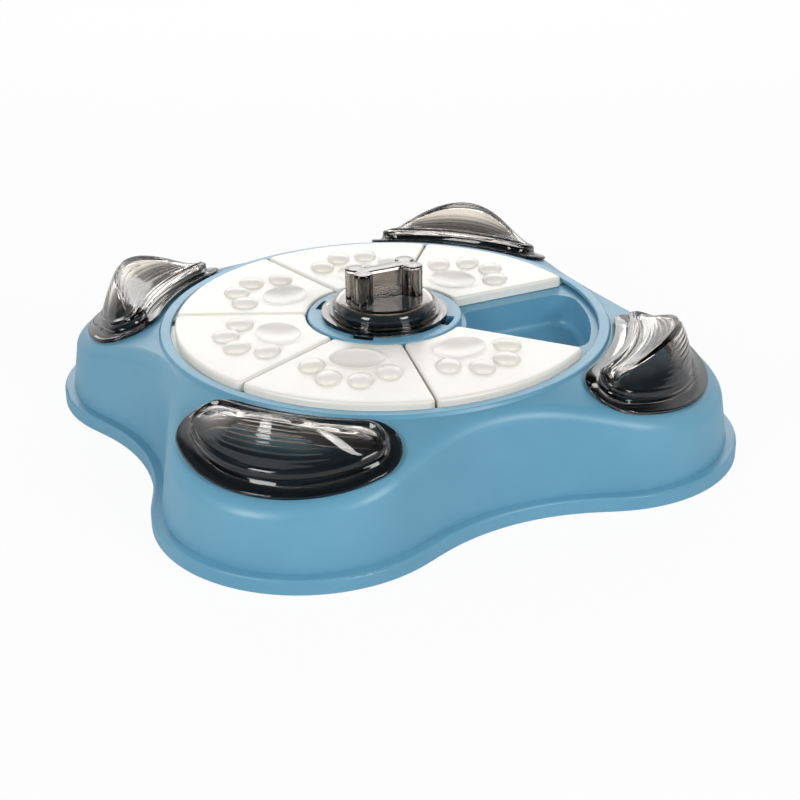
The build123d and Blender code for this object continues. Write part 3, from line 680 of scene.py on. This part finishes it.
# %% Cap outline
CAP_CENTRE = 94.6 * MM
CAP_RADIUS = 56.6 * MM
CAP_INNER = 107.4 * MM
CAP_CORNER = 16.0 * MM
CAP_SEAT = 0.3 * MM
CAP_FLANGE = 2.0 * MM
BOSS_INSET = 6.0 * MM
BOSS_HEIGHT = 5.2 * MM
CAP_WALL = 2.2 * MM
ROOF_START = 48.5 * MM
ROOF_RADIUS = 105.5 * MM
ROOF_SLOPE = 0.33
CREST_REACH = 136.3 * MM
CREST_TOP = 63.5 * MM
CREST_BOW = 0.0155 / MM
CREST_HALF = 35.0 * MM
STATIONS = 120
# columns of the table of stations
HUB, HEADING = slice(0, 2), slice(2, 4)
RADIUS, GROWTH, SHARE, OUTSIDE = 4, 5, 6, 7


def corner_hub():
    """Centre of the small arc at an end of the kidney."""
    from_centre, from_axis = CAP_RADIUS - CAP_CORNER, CAP_INNER + CAP_CORNER
    x = (from_axis ** 2 - from_centre ** 2 + CAP_CENTRE ** 2) / (2 * CAP_CENTRE)
    return x, math.sqrt(from_axis ** 2 - x ** 2)


def cap_stations():
    """Centre, direction, radius and growth of each point of the loop, and its share along."""
    hub_x, hub_y = corner_hub()
    tip = hub_y + CAP_CORNER - BOSS_INSET
    outer_limit = (CAP_RADIUS - BOSS_INSET) * hub_y / (CAP_RADIUS - CAP_CORNER)
    inner_limit = (CAP_INNER + BOSS_INSET) * hub_y / (CAP_INNER + CAP_CORNER)
    shares = np.sin(np.linspace(-math.pi / 2, math.pi / 2, STATIONS + 1))
    rows = []
    for outside in (True, False):
        for share in shares if outside else shares[-2:0:-1]:
            y = abs(share) * tip
            lean = (y - hub_y) / (CAP_CORNER - BOSS_INSET)
            if outside and y <= outer_limit:
                turn = math.asin(y / (CAP_RADIUS - BOSS_INSET))
                place = ((CAP_CENTRE, 0), turn, CAP_RADIUS, -1)
            elif not outside and y <= inner_limit:
                turn = math.asin(y / (CAP_INNER + BOSS_INSET))
                place = ((0, 0), turn, CAP_INNER, 1)
            else:
                turn = math.asin(max(-1.0, min(1.0, lean)))
                turn = turn if outside else math.pi - turn
                place = ((hub_x, hub_y), turn, CAP_CORNER, -1)
            (x, hub), turn, radius, growth = place
            mirror = 1 if share >= 0 else -1
            rows.append((
                x, mirror * hub, math.cos(turn), mirror * math.sin(turn),
                radius, growth, share, float(outside),
            ))
    return np.array(rows)


STATION = cap_stations()


def cap_loop(inset):
    """The kidney outline moved in by an inset, as points on the plan."""
    radius = STATION[:, RADIUS] + STATION[:, GROWTH] * inset
    return STATION[:, HUB] + STATION[:, HEADING] * radius[:, None]


def roof(plan):
    return ROOF_START - ROOF_SLOPE * (np.hypot(plan[:, 0], plan[:, 1]) - ROOF_RADIUS)


def raised(plan, height):
    return np.column_stack((plan, roof(plan) + height))


hub = [round(c / MM, 1) for c in corner_hub()]
print("cap outline:", len(STATION), "points, corner centre", hub)

# %% [markdown]
# The fin is ruled between the boss and the crest. Going up, its outer face bulges and
# its inner face is hollow, with a rounded lip and a groove at its foot. Each loop point
# has its own place on the crest, so the lines wrap round the ends of the shell as
# they do on a clam. The inside is found by rolling a ball as thick as the wall along the
# outside, which keeps the wall even where the two faces meet under the crest.

# %% Cap skin
FIN_ROWS = 78
INNER_ROWS = 26
EDGE_ROUND = 1.5 * MM
BOSS_DRAFT = 0.25 * MM
TOP_INSET = BOSS_INSET + BOSS_DRAFT + EDGE_ROUND
BOSS_FOOT = 1.0 * MM
FLANGE_INSET = 0.6 * MM
FLANGE_LIP = 0.7 * MM
SKIRT_INSET = 7.5 * MM
SKIRT_WALL = 1.8 * MM
SKIRT_DEPTH = 4.0 * MM
SKIRT_CHAMFER = 0.2 * MM
SKIRT_RELIEF = 0.3 * MM
BULGE_RUN, BULGE_FULLNESS = 1.6, 0.9
HOLLOW_CURVE = 1.6
CREST_FALL = 1.02
# height or depth, then place and spread as shares of the way up the fin
FIN_LIP = (1.1 * MM, 0.09, 0.05)
FIN_GROOVE = (0.9 * MM, 0.21, 0.04)
END_FADE = 6
FOOT_FADE = 20
BOSS_LOOPS = 6
FILLET_STEPS = 5
CAP_WELD = 2e-6
CAP_CRISP = math.radians(55)


def crest_line():
    """Each loop point's place on the crest, and the crest's height over the boss there."""
    along = STATION[:, SHARE] * CREST_HALF
    plan = np.column_stack((CREST_REACH - CREST_BOW * along ** 2, along))
    base = roof(np.array([[CREST_REACH, 0.0]]))[0] + CAP_SEAT + CAP_FLANGE + BOSS_HEIGHT
    return plan, (CREST_TOP - base) * np.maximum(0, 1 - STATION[:, SHARE] ** 2) ** CREST_FALL


def swell(share, size, place, spread):
    return size * math.exp(-((share - place) / spread) ** 2)


def fin_row(share):
    """One loop of the outside of the fin, from the boss at 0 to the crest at 1."""
    crest, rise = crest_line()
    plan = cap_loop(TOP_INSET) * (1 - share) + crest * share
    outside = STATION[:, OUTSIDE] > 0.5
    bulging = (1 - (1 - share) ** BULGE_RUN) ** BULGE_FULLNESS
    hollow = share ** HOLLOW_CURVE
    ends = np.clip((1 - np.abs(STATION[:, SHARE])) * END_FADE, 0, 1)
    relief = swell(share, *FIN_LIP) - swell(share, *FIN_GROOVE)
    extra = np.where(outside, 0.0, relief * ends)
    height = CAP_SEAT + CAP_FLANGE + BOSS_HEIGHT + rise * np.where(outside, bulging, hollow)
    return raised(plan, height + extra * min(1.0, share * FOOT_FADE))


def arc_steps(count):
    return [math.pi / 2 * k / count for k in range(count + 1)]


def cap_profile():
    """Insets and heights over the roof, from the hollow round the flange to the boss's top."""
    top = CAP_SEAT + CAP_FLANGE
    steps = [
        (BOSS_INSET + CAP_WALL, top),
        (SKIRT_INSET + SKIRT_WALL, top - SKIRT_RELIEF),
        (SKIRT_INSET + SKIRT_WALL, -SKIRT_DEPTH),
        (SKIRT_INSET + SKIRT_CHAMFER, -SKIRT_DEPTH),
        (SKIRT_INSET, SKIRT_CHAMFER - SKIRT_DEPTH),
        (SKIRT_INSET, CAP_SEAT),
        (FLANGE_INSET, CAP_SEAT),
    ]
    steps += [(FLANGE_LIP * (1 - math.cos(a)), top - FLANGE_LIP * (1 - math.sin(a)))
              for a in arc_steps(FILLET_STEPS)]
    steps += [(
        BOSS_INSET - BOSS_FOOT * math.cos(a),
        top + BOSS_FOOT * (1 - math.sin(math.pi / 2 - a)),
    ) for a in arc_steps(FILLET_STEPS)]
    steps += [(
        BOSS_INSET + BOSS_DRAFT + EDGE_ROUND * (1 - math.cos(a)),
        top + BOSS_HEIGHT - EDGE_ROUND * (1 - math.sin(a)),
    ) for a in arc_steps(BOSS_LOOPS)[:-1]]
    return steps


def cap_hollow(outside):
    """Loops of the inside, from under the crest down to the wall of the boss."""
    crest, _ = crest_line()
    rows = []
    for share in np.linspace(1, 0, INNER_ROWS):
        plan = cap_loop(BOSS_INSET + CAP_WALL) * (1 - share) + crest * share
        depth = []
        for x, y in plan:
            near = np.hypot(outside[:, 0] - x, outside[:, 1] - y)
            held = near < CAP_WALL
            ball = np.sqrt(CAP_WALL ** 2 - near[held] ** 2)
            depth.append(np.min(outside[held, 2] - ball))
        rows.append(np.column_stack((plan, depth)))
    return rows


def cap_start():
    """The plain cap on +X, with each point's climb, side and place along the crest stored."""
    fins = [fin_row(share) for share in np.linspace(0, 1, FIN_ROWS)]
    sides = [raised(cap_loop(inset), height) for inset, height in cap_profile()]
    loops = cap_hollow(np.vstack(sides[-BOSS_LOOPS:] + fins)) + sides + fins
    mesh = new_mesh("corner_cap", np.vstack(loops), skin(loops))
    plain = (len(loops) - FIN_ROWS) * len(STATION)
    stored = {
        "climb": np.repeat(np.linspace(0, 1, FIN_ROWS), len(STATION)),
        "outer_side": np.tile(STATION[:, OUTSIDE], FIN_ROWS),
        "along": np.tile(np.abs(STATION[:, SHARE]), FIN_ROWS),
        "fin": np.ones(FIN_ROWS * len(STATION)),
    }
    for label, values in stored.items():
        attribute = mesh.attributes.new(label, "FLOAT", "POINT")
        whole = np.concatenate((np.zeros(plain), values)).astype(np.float32)
        attribute.data.foreach_set("value", whole)
    finish_mesh(mesh, CAP_WELD, CAP_CRISP)
    return mesh


plain_cap = cap_start()
print("plain cap:", len(plain_cap.polygons), "faces")

# %% [markdown]
# The ridges are where Geometry Nodes earn their keep. On the outer face, the shell is
# built up of thin terraces: going down, each reaches further to both sides and its
# ends hook upwards. On the inner face, fine growth lines run parallel to the crest. Both
# are a height along the surface's own normal, so the tree only needs the stored climb,
# side and place of each point, and a few named sizes to tune.

# %% Growth ridges
HOOK_POWER, HOOK_RISE = 10.0, 0.22
FIRST_TERRACE = 0.15
SHELF_POWER, SHELF_EDGE = 1.6, (0.0, 0.18)
LINE_POWER = 2.0
TERRACE_ENDS = (0.80, 1.0)
BEAD_ENDS = (0.8, 1.0)
# climb at which each relief comes in and goes out
TERRACE_BAND = ((0.02, 0.10), (0.86, 0.93))
LINE_BAND = ((0.26, 0.34), (0.90, 0.96))
BEAD_BAND = ((0.93, 0.965), (0.985, 1.0))


def between(climb, band):
    come, go = band
    return climb.fade(*come) * (1 - climb.fade(*go))


def ridge_recipe():
    made = Recipe(
        "growth_ridges",
        terraces=10, terrace_height=0.34 * MM, widest=0.58, narrowest=0.16,
        lines=9, line_height=0.10 * MM, bead=0.06 * MM,
    )
    climb, along = made.stored("climb"), made.stored("along")
    outer, fin = made.stored("outer_side"), made.stored("fin")
    reach_here = (1 - climb) * made.given("widest") + made.given("narrowest")
    near_end = (along / reach_here).clamped()
    turn = climb * made.given("terraces") + FIRST_TERRACE - near_end.power(HOOK_POWER) * HOOK_RISE
    step = turn.maths("FRACT", turn)
    shelf = (1 - step).power(SHELF_POWER) * step.fade(*SHELF_EDGE)
    middle = 1 - near_end.fade(*TERRACE_ENDS)
    body = between(climb, TERRACE_BAND)
    terrace = shelf * middle * body * made.given("terrace_height") * outer
    wave = climb.maths("COSINE", climb * made.given("lines") * math.tau)
    band = between(climb, LINE_BAND)
    line = (wave * 0.5 + 0.5).power(LINE_POWER) * band * made.given("line_height") * (1 - outer)
    bead = between(climb, BEAD_BAND) * made.given("bead")
    height = (terrace + line + bead * (1 - along.fade(*BEAD_ENDS))) * fin
    normal = made.start.node("GeometryNodeInputNormal")
    inputs = {0: normal, "Scale": height}
    offset = made.start.node("ShaderNodeVectorMath", {"operation": "SCALE"}, inputs)
    inputs = {"Geometry": made.given("Geometry"), "Offset": offset}
    moved = made.start.node("GeometryNodeSetPosition", None, inputs)
    made.close(moved)
    return made


ridged_cap = ridge_recipe().run(plain_cap, "smoked_plastic")
for number, corner in enumerate(CORNERS):
    mesh = turned_mesh(ridged_cap, f"cap_shell_{corner}", FIRST_LOBE + 90 * number)
    node = f"corner_cap_{corner}"
    place_piece(f"cap_shell_{corner}", mesh, f"cap_{corner}", "smoked_plastic", node)
print("caps:", len(ridged_cap.polygons), "faces each")

# %% [markdown]
# ## Floor and light
# A studio table: a pale floor that runs off into white, a long soft box low
# behind the toy that puts a sheen on every level face, and two window-like panels in
# front, left and right, which draw the crisp highlights on the smoked caps. Where the
# floor and the backdrop are seen or seen through, they are white by a strength of their
# own, so the lamps stay at a plain level. In mirrors the floor is drawn as the lamps
# light it, and the world is white only low behind the toy: the room over and in front of
# the table is dark, so polished plastic stays dark where it mirrors it.

# %% Floor and world
FORWARD = -direction(VIEW_TURN, 0)
FLOOR_HALF = 6.0
FLOOR_COLOUR = (0.86, 0.86, 0.87, 1)
FLOOR_ROUGHNESS = 0.9
FLOOR_WHITE = 0.94
WHITE = (1.0, 1.0, 1.0, 1)
BACKDROP_SIDES = (0.0, 0.3)
BACKDROP_TOP = (0.55, 0.68)
PANEL_AIM = Vector((0, 0, 30 * MM))
SOFTBOX = {"raised": 24, "distance": 1.3, "size": (1.6, 0.55)}
WINDOW = {"raised": 29, "distance": 1.5, "size": (0.42, 0.62)}
PANELS = {
    "softbox_behind": {"turn": 180, "power": 7.0, **SOFTBOX},
    "window_left": {"turn": -44, "power": 9.0, **WINDOW},
    "window_right": {"turn": 46, "power": 8.6, **WINDOW},
}


def seen_directly(tree):
    """1 for camera rays and for rays that have passed through something clear."""
    path = tree.nodes.new("ShaderNodeLightPath")
    wire = Wire(tree, path.outputs["Is Camera Ray"])
    return wire.maths("MAXIMUM", wire, Wire(tree, path.outputs["Is Transmission Ray"]))


def add_floor():
    corners = [(x * FLOOR_HALF, y * FLOOR_HALF, 0) for x, y in ((-1, -1), (1, -1), (1, 1), (-1, 1))]
    mesh = new_mesh("floor", corners, [(0, 1, 2, 3)])
    floor = add_object("floor", mesh)
    material = bpy.data.materials.new("pale_floor")
    material.use_nodes = True
    tree = material.node_tree
    matte = tree.nodes["Principled BSDF"]
    matte.inputs["Base Color"].default_value = FLOOR_COLOUR
    matte.inputs["Roughness"].default_value = FLOOR_ROUGHNESS
    start = Wire(tree, None)
    glow = start.node("ShaderNodeEmission", None, {"Color": WHITE, "Strength": 1.0})
    share = seen_directly(tree) * FLOOR_WHITE
    shown = start.node("ShaderNodeMixShader", None, {"Fac": share, 2: glow})
    tree.links.new(matte.outputs[0], shown.socket.node.inputs[1])
    tree.links.new(shown.socket, tree.nodes["Material Output"].inputs["Surface"])
    mesh.materials.append(material)


def set_world(fill, dark):
    """White where it is seen or seen through; in mirrors white behind the toy and dark above."""
    world = bpy.data.worlds.new("studio")
    bpy.context.scene.world = world
    world.use_nodes = True
    tree = world.node_tree
    background = tree.nodes["Background"]
    start = Wire(tree, None)
    where = start.node("ShaderNodeTexCoord", out="Generated")
    inputs = {0: where, 1: FORWARD}
    ahead = start.node("ShaderNodeVectorMath", {"operation": "DOT_PRODUCT"}, inputs, out="Value")
    height = start.node("ShaderNodeSeparateXYZ", None, {0: where}, out="Z")
    backdrop = ahead.fade(*BACKDROP_SIDES) * (1 - height.fade(*BACKDROP_TOP))
    glossy = Wire(tree, tree.nodes.new("ShaderNodeLightPath").outputs["Is Glossy Ray"])
    mirrored = backdrop * (1 - dark) + dark
    direct = seen_directly(tree)
    strength = direct + (1 - direct) * (glossy * mirrored + (1 - glossy) * fill)
    background.inputs["Color"].default_value = WHITE
    tree.links.new(strength.socket, background.inputs["Strength"])


def add_panel(name, turn, raised, distance, size, power):
    """A rectangular soft light that faces the toy; turn is counted from the camera."""
    data = bpy.data.lights.new(name, "AREA")
    data.shape = "RECTANGLE"
    data.size, data.size_y = size
    data.energy = power
    light = add_object(name, data)
    back = direction(VIEW_TURN + turn, raised)
    light.location = PANEL_AIM + back * distance
    light.rotation_mode = "QUATERNION"
    light.rotation_quaternion = (-back).to_track_quat("-Z", "Y")


add_floor()
set_world(fill=0.30, dark=0.05)
for name, panel in PANELS.items():
    add_panel(name, **panel)
bpy.context.scene.view_settings.view_transform = "Standard"
print("floor, world and three panels ready")
